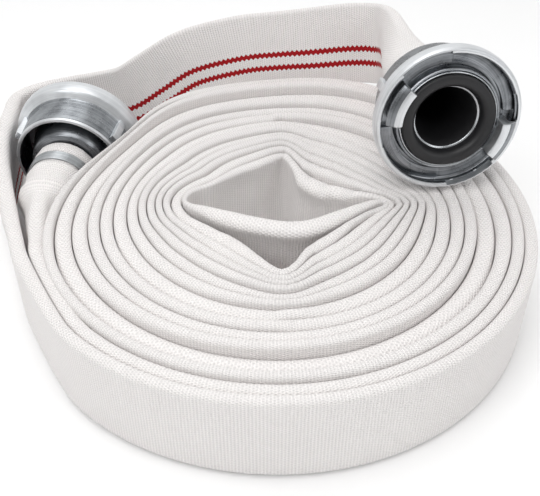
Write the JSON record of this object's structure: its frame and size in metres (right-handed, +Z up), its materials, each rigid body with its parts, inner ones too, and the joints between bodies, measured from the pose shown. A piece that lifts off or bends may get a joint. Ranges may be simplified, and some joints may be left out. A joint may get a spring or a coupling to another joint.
{
  "type": "rolled fire hose",
  "caption": "Flat-lying woven fire hose double-rolled on edge, with a twist-lock claw coupling on each end and red tracer stripes.",
  "frame": {"origin": "on the floor, at the middle of the object's footprint", "axes": "+Z up along the roll's axis, -Y towards the front of the roll, coupling A opens towards -Y"},
  "size_m": [0.3804, 0.3682, 0.1629],
  "materials": {
    "woven_jacket": "cream-white woven polyester, two red stripes",
    "forged_aluminium": "forged and machined, slightly satin",
    "turned_aluminium": "turned bright",
    "black_rubber": "matt moulded",
    "spring_steel": "bright drawn wire",
    "binding_wire": "galvanised wire"
  },
  "bodies": {
    "hose": {"hose_roll": "woven_jacket", "hose_outer_turn": "woven_jacket", "hose_end_b": "woven_jacket", "jacket_cuff_a": "woven_jacket", "jacket_cuff_b": "woven_jacket", "tail_shank_a": "turned_aluminium", "tail_shank_b": "turned_aluminium", "seal_ring_a": "black_rubber", "seal_ring_b": "black_rubber", "snap_ring_a": "spring_steel", "snap_ring_b": "spring_steel", "lining_end_a": "black_rubber", "lining_end_b": "black_rubber", "binding_wire_a": "binding_wire", "binding_wire_b": "binding_wire"},
    "lug_ring_a": {"lug_ring_a": "forged_aluminium"},
    "lug_ring_b": {"lug_ring_b": "forged_aluminium"}
  },
  "joints": [
    {"name": "lug_ring_a_turn", "type": "hinge", "parent": "hose", "child": "lug_ring_a", "pos_m": [0.1322, 0.00938, 0.1146], "axis": [0.1381, -0.9825, 0.1253], "continuous": true},
    {"name": "lug_ring_b_turn", "type": "hinge", "parent": "hose", "child": "lug_ring_b", "pos_m": [-0.1278, 0.09788, 0.0494], "axis": [0.1217, 0.9912, 0.0523], "continuous": true}
  ]
}
